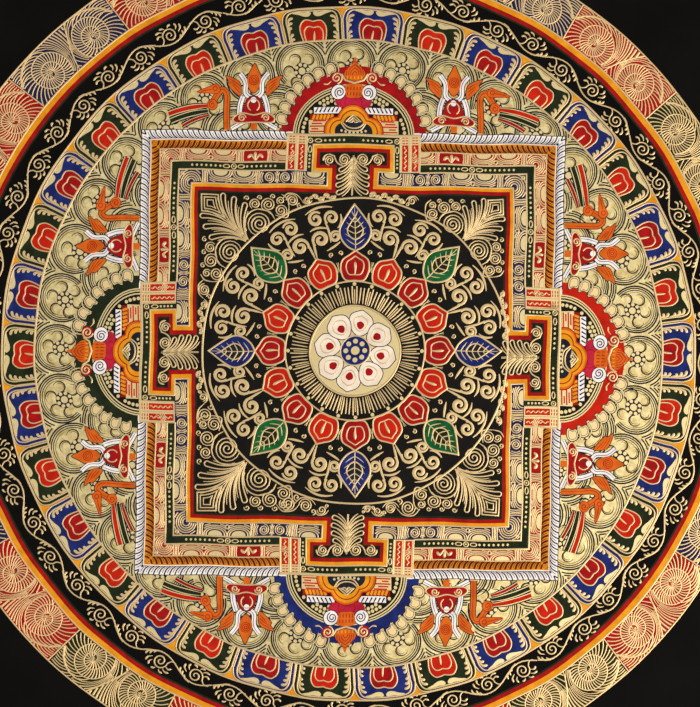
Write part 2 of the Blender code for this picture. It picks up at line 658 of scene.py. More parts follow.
def flame_lines():
    """The gold strokes of one flame, on a flat strip."""
    strokes = []
    for side, hub, starts in WHEELS:
        strokes += wheel_lines(side, hub + complex(*rng.normal(0, 0.5, 2)), starts)
    height = np.linspace(0.4, FLAME_HEIGHT - 0.3, 9)
    return strokes + [stroke(divide(height) + 1j * height, 0.9, 0.6, 1)]


fire_gold, fire_fields = [], {}
fire_drift = (WHEEL_CENTRE - BAND_CENTRE) / FLAME_HEIGHT
shrink = FIRE_INNER / ((FIRE_OUTER + FIRE_INNER) / 2)
for k in range(FLAMES):
    bend = on_ring(BAND_CENTRE, FIRE_INNER, FLAME_START + (k + 0.5) * FLAME_TURN, fire_drift)
    fire_gold += moved(flame_lines(), lambda points: bend(points.real * shrink + 1j * points.imag))
    half = FIRE_INNER * math.radians(FLAME_TURN) / 2
    along = np.linspace(-half, half, 11)
    block = bend(np.concatenate([along - 1j, along[::-1] + 1j * FLAME_HEIGHT]))
    fire_fields.setdefault(FLAME_COLOURS[k], []).append(block)
    fire_gold.append(stroke(bend([-half, -half + 1j * FLAME_HEIGHT]), 0.7))
for material, blocks in fire_fields.items():
    lay(fields("flame_" + material.name.split()[0], blocks), material, 0.10)
for centre, radius, width in ((WHEEL_CENTRE, FIRE_OUTER, 0.8), (BAND_CENTRE, FIRE_INNER, 0.9)):
    fire_gold.append(stroke(hoop(centre, radius), width, closed=True))
lay(drawing("fire_gold", fire_gold, RIDGE), BRIGHT_GOLD, 0.14)

# %% [markdown]
# ## Amber, red and green rings
# Three plain bands close the fire ring. A band is two circles in one filled curve, because the
# inner circle then cuts its hole.

# %% Plain rings
for name, outer, inner, material, coat in (
    ("amber_ring", AMBER_OUTER, AMBER_INNER - 0.1, ORPIMENT, 0.12),
    ("red_ring", AMBER_INNER, RED_INNER - 0.1, LAKE, 0.13),
    ("green_ring", RED_INNER, GREEN_INNER, PINE, 0.14),
):
    lay(fields(name, [hoop(BAND_CENTRE, radius) for radius in (outer, inner)]), material, coat)

# %% [markdown]
# ## The running vine
# The black band between the fire and the lotus holds one endless gold scroll. A wave is the
# stem, and every half wave sends a shoot into its hollow that winds up in a spiral.

# %% Vine
SHOOTS = 60
VINE_RADIUS = 215.9
SHOOT_LENGTH = 2 * math.pi * VINE_RADIUS / SHOOTS
LEAVES = (
    (1.5 - 4.6j, 4.8 - 3.4j, 6.0 - 1.4j),
    (3.6 - 3.9j, 7.2 - 2.0j, 7.6 + 0.4j),
    (6.0 - 2.6j, 9.4 - 0.6j, 9.8 + 1.8j),
    (5.2 + 0.6j, 7.4 + 2.4j, 7.6 + 4.8j),
    (4.4 + 2.6j, 5.6 + 4.4j, 5.0 + 6.3j),
    (-4.6 + 2.4j, -6.8 + 3.4j, -8.6 + 2.2j),
    (-3.6 + 4.4j, -5.6 + 5.6j, -8.0 + 5.2j),
    (-1.6 + 5.7j, -2.6 + 6.8j, -4.6 + 7.0j),
)


def shoot(side):
    """One half wave of stem with its scroll and leaves. Side is 1 outwards, -1 inwards."""
    s = np.linspace(-0.5, 0.5, 9)
    stem = s * SHOOT_LENGTH - 4.2j * side * np.cos(math.pi * s)
    curl = spiral(-0.2 + 0.9j, 4.6, 0.5, -100, 640, 24)
    branch = np.append(smooth([-9.4 - 1.6j, -6.9 - 2.0j, -5.0 - 0.4j], 3)[:-1], curl)
    strokes = [stroke(branch, 0.8, 0.7, 0.6)] + [comma(smooth(leaf, 3), 1.2) for leaf in LEAVES]
    strokes.append(comma(smooth([0.6 + 5.7j, 1.4 + 6.6j, 3.0 + 6.8j], 3), 1.3))
    return [stroke(stem, 0.8)] + moved(strokes, lambda points: points if side > 0 else np.conj(points))


vine = []
for k in range(SHOOTS):
    bend = on_ring((BAND_CENTRE + PETAL_CENTRE) / 2, VINE_RADIUS, k * 360 / SHOOTS + 1.3)
    vine += moved(shoot(1 if k % 2 else -1), lambda points: bend(points * (1 + rng.normal(0, 0.02))))
lay(drawing("running_vine", vine, RIDGE), RAISED_GOLD, 0.08)

# %% [markdown]
# ## The lotus ring
# Thirty-four petals, blue and black by turns, stand round the palace. Each has a gold border,
# two gold lobes under its rim, curls down its sides and a red heart with a pale line in it. The
# orange between two petals is one plain band behind them all.

# %% Lotus petals
PETALS = 34
PETAL_START = 4.7
PETAL_HEIGHT = LOTUS_OUTER - LOTUS_INNER
HALF_PETAL = math.pi * LOTUS_INNER / PETALS


def arch(half, height, corner):
    """Up one side, over rounded corners and down the other, from foot to foot."""
    left = [-half, -half + 0.5j * height, -half + 1j * (height - corner)]
    left += [-half + 0.28 * corner + 1j * (height - 0.28 * corner), -half + corner + 1j * height]
    return smooth(over(left + [1j * height]), 4)


PETAL_HEART = smooth(
    [-6.7, -7.7 + 5j, -7.4 + 9.6j, -4.8 + 12.7j, -1.8 + 12.7j, 0.4 + 11.9j]
    + [2.8 + 12.3j, 5.6 + 12.0j, 7.7 + 8.8j, 7.7 + 4.5j, 6.7],
    3,
)
LOBE = smooth(
    [-10.4 + 17.4j, -8.0 + 18.0j, -4.2 + 17.5j, -0.9 + 17.7j]
    + [-0.1 + 16.6j, -1.4 + 15.0j, -4.0 + 14.9j, -7.2 + 16.3j],
    3,
    closed=True,
)
CURLS = (
    (-14.2 + 10.5j, -13.2 + 14.0j, -10.6 + 14.9j),
    (-14.2 + 8.0j, -13.6 + 11.2j, -11.4 + 12.0j),
    (-14.2 + 5.5j, -13.8 + 8.4j, -12.2 + 9.2j),
    (-14.0 + 0.8j, -13.6 + 4.2j, -11.8 + 5.2j),
    (-13.9 - 0.4j, -13.4 + 1.8j, -11.6 + 2.4j),
)
curls = [smooth(curl, 4) for curl in CURLS]
commas = [comma(curl, 1.7) for curl in curls + [mirrored(curl) for curl in curls]]
outlines = [
    stroke(arch(HALF_PETAL - 0.4, PETAL_HEIGHT - 0.5, 6.2), 0.75),
    stroke(arch(HALF_PETAL - 2.6, PETAL_HEIGHT - 1.7, 5.0), 0.8),
    stroke(PETAL_HEART, 0.7),
    stroke(PETAL_HEART * 0.72 - 0.4j, 0.7),
    stroke(smooth([-0.4 - 0.2j, 0.1 + 2.5j, 0.6 + 5.8j], 3), 1.1, 1.0, 0.3),
]
petal_gold, petal_commas, petal_lobes = [], [], []
petal_grounds = {AZURITE: [], PINE: []}
hearts = {LAKE: [], VERMILION: []}
for k in range(PETALS):
    bend = on_ring(PETAL_CENTRE, LOTUS_INNER, PETAL_START + k * 360 / PETALS)
    tilt = rng.normal(0, 0.012)
    wide = 1 + rng.normal(0, 0.015)

    def place(points):
        points = np.asarray(points, complex)
        return bend(points.real * wide + tilt * points.imag + 1j * points.imag)

    petal_gold += moved(outlines, place)
    petal_commas += moved(commas, place)
    petal_lobes += [place(LOBE), place(mirrored(LOBE) + 1.1)]
    petal_grounds[(AZURITE, PINE)[k % 2]].append(place(arch(HALF_PETAL + 0.1, PETAL_HEIGHT, 6.6)))
    hearts[(LAKE, VERMILION)[k % 2]].append(place(PETAL_HEART))

circles = [hoop(PETAL_CENTRE, radius) for radius in (LOTUS_OUTER, LOTUS_INNER)]
lay(fields("petal_backing", circles), ORPIMENT, 0.16)
for part, coat, lots in (("petal_", 0.19, petal_grounds), ("heart_", 0.22, hearts)):
    for material, shapes in lots.items():
        lay(fields(part + material.name.split()[0], shapes), material, coat)
lay(fields("petal_lobes", petal_lobes), GROUND_GOLD, 0.22)
lay(drawing("petal_commas", petal_commas, LOW), RAISED_GOLD, 0.23)
petal_gold += [stroke(circle, width, closed=True) for circle, width in zip(circles, (0.8, 1.1))]
lay(drawing("petal_gold", petal_gold, RIDGE), RAISED_GOLD, 0.25)

# %% [markdown]
# ## Clouds on gold
# Inside the lotus the ground is solid gold, burnished, with dark line drawing on it: rows of
# round clouds, each a nest of arcs with a swirl of petals round an eye. A cloud has its own gold
# disc, so that it hides the row behind it, as a painter works from back to front.

# %% Cloud band
CLOUDS = 36
CLOUD_START = 0.8


def cloud(bend, size, pitch, limit):
    """The dark lines of one cloud, its olive shading, its disc, its eye's ring and dots."""
    ink = []
    shade = [stroke(arc(0j, 0.7 * size, -112, 112, 20), 0.5, 0.4, 0.4)]
    for radius, width in ((0.94, 0.95), (0.86, 0.7), (0.78, 0.55)):
        nest = arc(0j, radius * size, -128, 128, 26)
        ink += [stroke(run, width) for run in runs(nest, lambda p: p.imag < limit)]
    for radius in (1.08, 1.17, 1.26):
        nest = arc(0j, radius * size, -75, 75, 24)
        kept = runs(nest, lambda p: abs(p.real) < pitch / 2 and p.imag < limit)
        ink += [stroke(run, 0.8) for run in kept]
    eye = complex(*rng.normal(0, 0.05 * size, 2)) - 0.1j * size
    first = rng.uniform(0, 60)
    for k in range(6):
        turn = first + 60 * k
        hub = eye + polar(0.49 * size, turn)
        ink.append(stroke(spiral(hub, 0.26 * size, 0.17 * size, turn - 60, 250, 11), 0.75, 0.3, 0.6))
        shade.append(stroke(arc(hub, 0.16 * size, turn - 30, turn + 150, 7), 0.6, 0.4, 0.4))
    dots = [ring(eye + polar(0.25 * size, first + 45 * k), 0.075 * size, 7) for k in range(8)]
    dots.append(ring(eye, 0.14 * size, 10))
    ink.append(stroke(ring(eye, 0.055 * size, 6), 0.4, closed=True))
    shapes = [arc(0j, size, -130, 130, 22)], [ring(eye, 0.33 * size, 14)], dots
    return moved(ink, bend), moved(shade, bend), *([bend(shape) for shape in lot] for lot in shapes)


def cloud_row(name, radius, size, start, count, coat):
    lots = [], [], [], [], []
    pitch = 2 * math.pi * radius / count
    for k in range(count):
        bend = on_ring(PETAL_CENTRE, radius, start + k * 360 / count)
        parts = cloud(bend, size * (1 + rng.normal(0, 0.02)), pitch, LOTUS_INNER - radius)
        for lot, part in zip(lots, parts):
            lot += part
    ink, shade, discs, eyes, dots = lots
    for half in (0, 1):  # neighbours overlap, and two overlapping outlines would cut each other
        lay(fields(f"{name}_discs_{half}", discs[half::2]), LEAF_GOLD, coat + 0.004 * half)
    lay(drawing(f"{name}_shade", shade, FLAT), OLIVE, coat + 0.02)
    lay(drawing(f"{name}_ink", ink, FLAT), INDIGO, coat + 0.03)
    lay(fields(f"{name}_eyes", eyes), INDIGO, coat + 0.025)
    lay(fields(f"{name}_dots", dots), GROUND_GOLD, coat + 0.04)


lay(fields("gold_ground", [hoop(PETAL_CENTRE, LOTUS_INNER)]), LEAF_GOLD, 0.05)
cloud_row("inner_clouds", 148.5, 14.5, CLOUD_START + 5.6, 32, 0.07)
cloud_row("outer_clouds", 174.3, 15.4, CLOUD_START, CLOUDS, 0.115)

# %% [markdown]
# ## The palace walls
# The square palace has four walls of nested bands: white rope, orange rope, gold with red
# scrolls, black with pearls, gold with blue scrolls, amber and red. It stands a little taller
# than wide and leans a little clockwise, because it was squared by eye. One half of one wall is
# drawn, lying along the top, and then mirrored and turned to the other places.

# %% Palace frame
HALF_PALACE = 130.2
PALACE_WIDE, PALACE_TALL = 0.975, 1.025
PALACE_LEAN = 0.9  # degrees clockwise
SIDES = 4
GATE = 40.8  # half a gate's width, where the outer bands stop
WALL, LINES, HEAD = 17, 20, 24  # coats of the bands, of what lies on them, and of the gateways


def on_palace(points, side=0):
    """From the upright top wall to its place on one of the four sides."""
    turned = np.asarray(points, complex) * (-1j) ** side
    squared = turned.real * PALACE_WIDE + 1j * turned.imag * PALACE_TALL
    return PALACE_CENTRE + squared * np.exp(-1j * math.radians(PALACE_LEAN))


def half_walls(region):
    """Sets the region's bend to each half of each side in turn."""
    for side in range(SIDES):
        for hand in region.hands(lambda points: on_palace(points, side)):
            yield side, hand


def square(inset):
    half = HALF_PALACE - inset
    return rect(-half, half, -half, half)


def rect(x0, x1, y0, y1):
    return [x0 + 1j * y0, x0 + 1j * y1, x1 + 1j * y1, x1 + 1j * y0]


def gateway(inset, stem, neck, head, top):
    """The palace's outline with its four T shaped gates."""
    half = HALF_PALACE - inset
    left = [-half + 1j * half, -stem + 1j * half, -stem + 1j * neck, -head + 1j * neck, -head + 1j * top]
    side = left + list(mirrored(left)[:0:-1])
    return np.concatenate([on_palace(side, k) for k in range(SIDES)])


# Each row: outer inset, inner inset, colour
WALL_BANDS = (
    (0.0, 5.8, CHALK),
    (5.8, 11.0, AMBER_ROPE),
    (11.0, 18.2, LAKE),
    (18.2, 22.9, PINE),
    (22.9, 31.0, SLATE),
)
# Each row: inset, half the stem's width, its end, half the head's width, its end, colour inside
GATEWAYS = (
    (31.0, 15.4, 107.3, 24.9, 123.2, ORPIMENT),
    (33.2, 12.7, 109.4, 22.5, 120.9, LAKE),
    (35.3, 10.2, 111.2, 20.6, 118.8, PINE),
    (36.6, 9.2, 112.2, 19.6, 117.8, LAMP_BLACK),
)
FLOOR_INSET = 35.3

walls = Region("walls")
for outer, inner, material in WALL_BANDS:
    walls.field(material, WALL, on_palace(square(outer)), on_palace(square(inner)))
edges = [gateway(*row[:-1]) for row in GATEWAYS]
for k, row in enumerate(GATEWAYS):
    walls.field(row[-1], HEAD, *edges[k : k + 2])

# %% [markdown]
# ## Ropes, scrolls and pearls
# The ropes are slanted strokes, a thick one for each strand and thin ones for its twist. The
# red and the blue band carry a running border in gold: half moons hung in nests of arcs, small
# rings between them, upright bars, coils, and a plain block with a gold lily.

# %% Wall ornament
OUTER_BAND, INNER_BAND = ((HALF_PALACE - a, HALF_PALACE - b) for a, b in ((11.4, 17.7), (23.4, 30.6)))


def rope(top, bottom, start, end, bay, lean, bold, fine):
    """Slanted strands from one place along the wall to another, bold and fine by turns."""
    count = round((end - start) / bay)
    tall = top - bottom

    def strand(x, colour, width, cut=0):
        """Steep at the outer edge, then swept along to the inner one, and cut at the mitre."""
        shape = [0j, 0.22 * lean - 0.4j * tall, 0.56 * lean - 0.76j * tall, 1.15 * lean - 1j * tall]
        path = smooth(np.array(shape) + x + 1j * top, 3)[cut:]
        for run in runs(path, lambda p: p.real < p.imag):
            walls.line(colour, LINES, run, width, 0.9, 0.7)

    for k in range(count):
        x = start + (k + 0.5) * (end - start) / count
        strand(x, *bold)
        strand(x + 0.5 * bay, *fine, cut=2)


def moon(band, x, width, bay):
    """A gold half moon hung from the band's outer edge in a nest of arcs, clipped by its bay."""
    top, bottom = band
    turn = np.linspace(0, math.pi, 31)
    bow = width / 2 * np.cos(turn) - 0.6j * (top - bottom) * np.sin(turn) ** 0.8
    walls.field(GROUND_GOLD, LINES, x + 1j * top + 0.72 * bow)
    for share in (0.95, 1.17, 1.4, 1.63):
        keep = lambda p: abs(p.real) < bay / 2 - 0.1 and top + p.imag > bottom + 0.3
        for run in runs(share * bow, keep):
            walls.gold(LINES, x + 1j * top + run, 0.72)


def bars(band, x, count):
    """Upright strokes side by side, bowed a little."""
    top, bottom = band
    for k in range(count):
        place = x + (k - (count - 1) / 2) * 1.15
        bow = 0.35 if k < count / 2 else -0.35
        bar = [place + 1j * top, place + bow + 0.5j * (top + bottom), place + 1j * bottom]
        walls.gold(LINES, smooth(bar, 3), 0.72)


def coil(band, x, turn):
    """A spiral that fills the band's height, in a nest of two arcs."""
    top, bottom = band
    middle = x + 0.5j * (top + bottom)
    size = (top - bottom) / 2 - 0.3
    walls.gold(LINES, spiral(middle, size, 0.4, 180, turn * 860, 30), 0.7, 0.7, 0.6)
    for more in (1.15, 2.3):
        for side in (-90, 90):
            walls.gold(LINES, arc(middle, size + more, side - 36, side + 36, 6), 0.6)


def corner_fan(band):
    """Nested arcs round the band's inner corner, and a small ring in the outer one."""
    top, bottom = band
    hub, size = bottom * (1 + 1j), top - bottom

    def inside(point):
        along, up = (point - hub).real / size, (point - hub).imag / size
        return 0.02 < max(along, up) < 1 and min(along, up) > -0.85

    walls.gold(LINES, ring(hub + 0.76 * size * (1 + 1j), 0.13 * size, 8), 0.7, closed=True)
    for share in (0.3, 0.48, 0.66, 0.84, 1.04):
        for run in runs(arc(hub, share * size, -90, 180, 40), inside):
            walls.gold(LINES, run, 0.72)


# Each row: band, a moon's width, moons (place, bay), bars (place, number), place of a small ring
BORDERS = (
    (OUTER_BAND, 12.6, ((42.6, 14.5), (80.2, 15.4), (95.7, 15.4)), ((51.5, 3), (69.9, 5), (105.3, 4)), 87.9),
    (INNER_BAND, 12.2, ((23.5, 13.5), (66.8, 14.6), (81.4, 14.6)), ((33.0, 5), (58.4, 3), (91.0, 4)), 74.1),
)
LILY = (
    (60.2 + 113.0j, 60.4 + 115.4j, 60.2 + 118j),
    (60 + 113.0j, 57.6 + 116.2j, 55.4 + 114.4j),
    (60.4 + 113.0j, 62.8 + 116.2j, 65 + 114.4j),
)
# Each row: inset, width, colour and brush of a line along the wall
RAILS = (
    (0.0, 0.4, LAMP_BLACK, FLAT),
    (5.0, 0.35, LAMP_BLACK, FLAT),
    (6.0, 0.5, ORPIMENT, FLAT),
    (11.2, 0.7, RAISED_GOLD, RIDGE),
    (18.0, 1.0, RAISED_GOLD, RIDGE),
    (23.0, 0.9, RAISED_GOLD, RIDGE),
)
for _, hand in half_walls(walls):
    rope(130.1, 125.3, GATE, HALF_PALACE, 3.3, -3.4, (LAMP_BLACK, 0.75), (INDIGO, 0.35))
    rope(124.1, 119.4, GATE - 2, HALF_PALACE - 6, 3.2, 3.0, (MADDER, 1.15), (MADDER, 0.4))
    for band, width, moons, bundles, small in BORDERS:
        for x, bay in moons:
            moon(band, x, width, bay)
        for x, count in bundles:
            bars(band, x, count)
        walls.gold(LINES, ring(small + 1j * (band[1] + 1.7), 1.1, 9), 0.7, closed=True)
        if hand > 0:  # one corner to each side
            corner_fan(band)
    for x, turn in ((41.2, -1), (51.2, 1)):
        coil(INNER_BAND, x, turn)
    for pull in LILY:
        walls.dab(LINES, pull, 1.8)
    for inset, width, material, brush in RAILS if hand > 0 else ():
        half = HALF_PALACE - inset
        rail = [GATE + 1j * half, half + 1j * half, half + 1j * GATE]
        walls.line(material, LINES, rail, width, section=brush)
    hub = 73.4 + 109.65j
    walls.gold(LINES, ring(hub, 1.5, 12), 0.6, closed=True)
    walls.field(GROUND_GOLD, LINES, ring(hub, 0.6, 6))
    for way in (-1, 1):
        walls.gold(LINES, oval(hub + way * 4.6, 2.0, 1, 12), 0.6, closed=True)
        walls.field(GROUND_GOLD, LINES, *[ring(hub + way * (8.4 + 2.9 * k), 0.75, 6) for k in range(7)])
walls.bend = lambda points: points
walls.gold(25, edges[0], 0.8, closed=True)
walls.finish()

# %% [markdown]
# ## Gates
# In the middle of every wall the floor runs out through a T shaped gateway. Its head has a frame
# of pearls on black and two red pillars on each side, with a gold waved line in each. A gold
# palmette with long looped leaves grows down its stem.

# %% Gateways
def bezier(a, b, c, steps=8):
    t = np.linspace(0, 1, steps + 1)
    return (1 - t) ** 2 * a + 2 * t * (1 - t) * b + t**2 * c


def loop(rib, width):
    """A closed leaf round a rib: thin at its foot, round at its tip."""
    reach = np.linspace(0.2, 1, len(rib))
    tangent = np.gradient(rib)
    normal = 1j * tangent / np.abs(tangent) * width / 2
    tip = rib[-1] + normal[-1] * np.exp(-1j * np.linspace(0.3, math.pi - 0.3, 6))
    return np.concatenate([rib + normal * reach, tip, (rib - normal * reach)[::-1]])


gates = Region("gates")
for _, hand in half_walls(gates):
    if hand > 0:
        half_frame = [28.7 + 127.8j, 28.7 + 107.3j, 24.9 + 107.3j, 24.9 + 123.2j]
        gates.field(PINE, HEAD, half_frame + list(mirrored(half_frame)[::-1]))
        gates.field(GROUND_GOLD, HEAD, rect(-28.7, 28.7, 127.8, 129.4))
        gates.gold(26, [-GATE - 0.6 + 128.6j, GATE + 0.6 + 128.6j], 1.5, section=LOW)
    gates.field(GROUND_GOLD, HEAD, rect(28.75, GATE + 0.3, 107.3, 129.4))
    wave = np.linspace(108.9, 122.5, 46)
    for x0, x1 in ((29.9, 33.7), (35.9, 39.9)):
        gates.field(VERMILION, 25, rect(x0, x1, 108.0, 123.3))
        gates.gold(26, (x0 + x1) / 2 + 0.55 * np.sin(wave * 2.1) + 1j * wave, 0.62)
        for dash in range(6):
            start = x0 + 0.2 + 2.0 * (dash % 2) + 1j * (124.3 + 1.6 * (dash // 2))
            gates.line(VERMILION, 25, [start, start + 1.5], 0.6)
    for x in (28.7, 34.8, GATE + 0.1):
        gates.gold(25, [x + 107.3j, x + 127.8j], 0.8)
    for hub, wide, tall in ((26.8 + 125.5j, 1.4, 1.4), (21.8 + 125.5j, 2, 1), (26.8 + 120.4j, 1, 2)):
        gates.gold(25, oval(hub, wide, tall, 10), 0.6, closed=True)
    gates.field(GROUND_GOLD, 25, ring(26.8 + 125.5j, 0.5, 6))
    gates.field(GROUND_GOLD, 25, *[ring(17.6 - 2.9 * k + 125.5j, 0.75, 6) for k in range(5)])
    gates.field(GROUND_GOLD, 25, *[ring(26.8 + 1j * (116.6 - 2.2 * k), 0.7, 6) for k in range(4)])
    for y, reach in ((108.4, 7.4), (104.2, 8.6), (99.6, 8.8), (95.2, 8.4)):
        leaf = bezier(0.6 + 1j * (y + 6.5), 3.2 + 1j * (y + 1.6), reach + 1j * y, 12)
        gates.gold(25, loop(leaf, 2.5), 0.75, closed=True)
        under = bezier(0.4 + 1j * (y + 4.4), 2.6 + 1j * (y - 0.4), reach - 2.2 + 1j * (y - 2.2), 6)
        gates.gold(25, under, 0.65, 0.6, 0.6)
    gates.gold(25, [0.3 + 93.4j, 0.3 + 116.6j], 1.1, 0.4, 0.3)
    for hub, size, start, turn in ((5.7 + 114.2j, 3.4, -90, 780), (14.6 + 114.0j, 2.9, 180, -700)):
        gates.gold(25, spiral(hub, size, 0.4, start, turn, 26), 0.8, 0.7, 0.6)
    gates.gold(25, bezier(0.4 + 108j, 1.0 + 113j, 2.2 + 114.4j, 4)[:-1], 0.9, 0.5, 1)
    link = bezier(6.4 + 110.9j, 10.4 + 111.2j, 11.8 + 116.4j, 5)
    gates.gold(25, np.append(link, 15 + 117.6j), 0.8)
    gates.dab(25, [15 + 117.6j, 17.6 + 116.6j, 18.6 + 113.6j], 1.1)
gates.finish()

# %% [markdown]
# ## Arches over the gates
# Over every gate a half disc in its own colour, edged with gold petals that point inwards, holds
# a small roof: a gold rim, pearls, two ropes and slats, an orange arch of three lobes, a crimson
# lotus with white scrolls, and an orange jewel on top. They stand before the gold clouds.

# %% Arches
ARCH_COLOURS = (LAKE, VERMILION, AZURITE, PINE)  # top, right, bottom, left
ARCH_FOOT = 129.0
# The right half of each outline, from its top down
LOTUS = (4.4 + 151.4j, 9.8 + 150.9j, 11.2 + 147.6j, 7.6 + 144.4j)
BASE = (5.4 + 157.4j, 4.4 + 151.0j)
JEWEL = (1.9 + 169.6j, 5.3 + 166.8j, 6.1 + 162.8j)
BOWL = (8.0 + 164.2j, 5.6 + 160.6j)
SHELL = (-2.4 - 3.4j, -3.6 - 0.2j, -2.6 + 3.0j, 0.4 + 4.0j, 3.0 + 2.4j, 3.8 - 1.0j, 3.0 - 4.2j, 0.4 - 2.8j)
# Each row: inner end, outer end, foot, top, colour
ROOF_ROWS = (
    (15.5, 27.8, 129.6, 137.4, GROUND_GOLD),
    (12.0, 27.0, 137.4, 140.7, LAKE),
    (7.5, 24.4, 141.1, 144.8, CHALK),
)


def half_disc(wide, tall, steps=24):
    turn = np.linspace(0, math.pi, steps + 1)
    return wide * np.cos(turn) + 1j * (ARCH_FOOT + tall * np.sin(turn))


def three_lobes(grow):
    """The outline of three joined discs, seen from the middle of the gate's top."""
    ray = np.exp(1j * np.linspace(0, math.pi, 41))
    reach = np.zeros(41)
    for hub, size in ((7.0j, 10.2), (10.6 + 2.2j, 7.8), (-10.6 + 2.2j, 7.8)):
        along = (ray * np.conj(hub)).real
        inside = (size * grow) ** 2 - abs(hub * grow) ** 2 + (along * grow) ** 2
        reach = np.maximum(reach, along * grow + np.sqrt(np.clip(inside, 0, None)) * (inside > 0))
    return 1j * ARCH_FOOT + ray * reach


def both(right, top, foot):
    """A closed outline from its right half, with a point on the axis at its top and foot."""
    return smooth([top, *right, foot, *mirrored(right)[::-1]], 4, closed=True)


def arch_middle(colour):
    """What stands on a gate's axis, from the half disc behind it to the jewel on top."""
    arches.field(colour, 16.5, half_disc(44.9, 40.0))
    arches.field(GROUND_GOLD, 20, half_disc(37.6, 29.4))
    arches.field(LAMP_BLACK, 21, half_disc(35.6, 27.5))
    arches.line(INDIGO, 22, half_disc(36.6, 28.5), 0.5)
    arches.line(GROUND_GOLD, 22, half_disc(34.3, 26.3), 0.8)
    arches.field(MINIUM, 25, three_lobes(1.0))
    arches.field(ORPIMENT, 25.5, three_lobes(0.92))
    arches.line(LAKE, 26, three_lobes(0.8), 0.65)
    arches.line(LAKE, 26, three_lobes(1.0), 0.6)
    arches.field(INDIGO, 26, three_lobes(0.64))
    for k in range(3):
        peak = 140.2 - 1.5 * k
        half = smooth([4.8 - 1.1 * k + 136.2j, 1.7 - 0.3 * k + 1j * (peak - 1.3), 1j * peak], 3)
        arches.gold(27, over(half), 0.8)
    for drop, wide in ((0.0, 6.4), (1.6, 7.6)):
        half = [wide + 135.4j, 0.6 * wide + 1j * (133.2 - drop), 1j * (132.4 - drop)]
        arches.gold(27, smooth(over(half), 4), 0.8)
    for k in range(-3, 4):
        arches.field(GROUND_GOLD, 27, ring(2.5 * k + 1j * (129.9 + 0.12 * k * k), 0.8, 7))
    arches.field(CRIMSON, 34, both(LOTUS, 151.2j, 146.6j))
    for way in (-1, 1):
        fold = bezier(3.4 * way + 151.2j, 6.4 * way + 148j, 4.6 * way + 145.6j, 5)
        arches.line(LAKE, 34.5, fold, 0.5)
    arches.field(MINIUM, 36, both(BASE, 158.6j, 150.2j))
    arches.field(MINIUM, 38, both(JEWEL, 174.4j, 160.0j))
    for size in (1.3, 2.6, 3.9, 5.2):
        nest = [size + 163.6j, 0.8 * size + 1j * (163.6 + 0.9 * size), 1j * (163.8 + 1.5 * size)]
        arches.line(LAKE, 39, over(smooth(nest, 4)), 0.4)
    for k in range(-2, 3):
        arches.line(LAKE, 37, [1.9 * k + 151.4j, 1.9 * k + 153.6j], 0.5)
        arches.line(LAKE, 37, [1.9 * k + 154.6j, 1.9 * k + 156.6j], 0.5)
        arches.line(ORPIMENT, 39, [2.2 * k + 161.0j, 2.2 * k + 162.8j], 0.8)
    arches.gold(40, over(np.append(smooth(BOWL, 4), 158.9j)), 1.1)


def arch_side():
    """The right half of a roof: slats, ropes, pearls, scrolls and the disc's petals."""
    for *place, material in ROOF_ROWS:
        arches.field(material, 22, rect(*place))
    for row, (start, end) in enumerate(((27.2, 18), (26.2, 22), (27.2, 17.4), (26, 19.6), (25.2, 17))):
        y = ARCH_FOOT + 1.7 + 1.55 * row
        arches.line(VERMILION, 23, [start + 1j * y, end + 1j * y], 0.85)
    for k in range(6):
        x = 12.8 + 2.25 * k
        arches.line(ORPIMENT, 23, [x + 140.5j, x + 1.2 + 137.7j], 1.45)
        x = 9.0 + 2.55 * k
        arches.line(LAMP_BLACK, 23, [x + 144.8j, x + 1.7 + 141.9j], 0.95, 0.6, 1.0)
    for row, share in enumerate((0.92, 0.835, 0.75, 0.665)):
        path = share * (half_disc(34.3, 26.3, 60)[:31] - 1j * ARCH_FOOT) + 1j * ARCH_FOOT
        along = np.append(0, np.cumsum(np.abs(np.diff(path))))
        for bead in np.interp(np.arange(1.5 + 1.3 * (row % 2), along[-1] - 6, 2.6), along, path):
            if all(bead.real > end + 1.2 or bead.imag > top + 1.2 for _, end, _, top, _ in ROOF_ROWS):
                arches.field(GROUND_GOLD, 22, ring(bead, 1.1, 8))
    arches.field(LAMP_BLACK, 35, ring(9.4 + 153.6j, 4.8, 16))
    arches.field(CHALK, 36, ring(9.4 + 153.6j, 4.3, 16))
    arches.line(INDIGO, 37, spiral(8.6 + 153.4j, 3.2, 0.5, 150, -660, 22), 0.6)
    arches.field(LAKE, 36, ring(10.8 + 162.0j, 3.7, 14))
    arches.gold(37, spiral(10.8 + 162.0j, 3.6, 0.4, 190, 640, 20), 0.85)
    arches.dab(37, [14.0 + 160.2j, 16.2 + 158.4j, 18.8 + 158.6j], 1.0)
    for k in range(7):
        turn = math.radians(12 + 9.8 * k)
        foot = 45.4 * math.cos(turn) + 1j * (ARCH_FOOT + 40.6 * math.sin(turn))
        lean = np.exp(1j * (turn - 1.75))
        shell = 0.86 * smooth(SHELL, 3, closed=True) * lean
        tail = foot + lean * smooth([-2.2 + 3.9j, -4.6 + 2.0j, -4.6 - 1.6j, -3.0 - 5.2j], 3)
        coat = 19 + 3 * (k % 2)
        arches.field(INDIGO, coat, foot + 1.22 * shell)
        arches.field(GROUND_GOLD, coat + 1.5, foot + 1.06 * shell)
        arches.field(SHELL_GOLD, 25, foot + 0.8 * shell)
        arches.line(INDIGO, 25.5, foot + 0.8 * shell, 0.3, closed=True)
        arches.line(INDIGO, 26, tail, 1.1, 0.7, 0.5)
        arches.line(GROUND_GOLD, 27, tail, 0.65, 0.7, 0.5)


arches = Region("arches")
for side, hand in half_walls(arches):
    arch_side()
    if hand > 0:
        arch_middle(ARCH_COLOURS[side])
arches.finish()

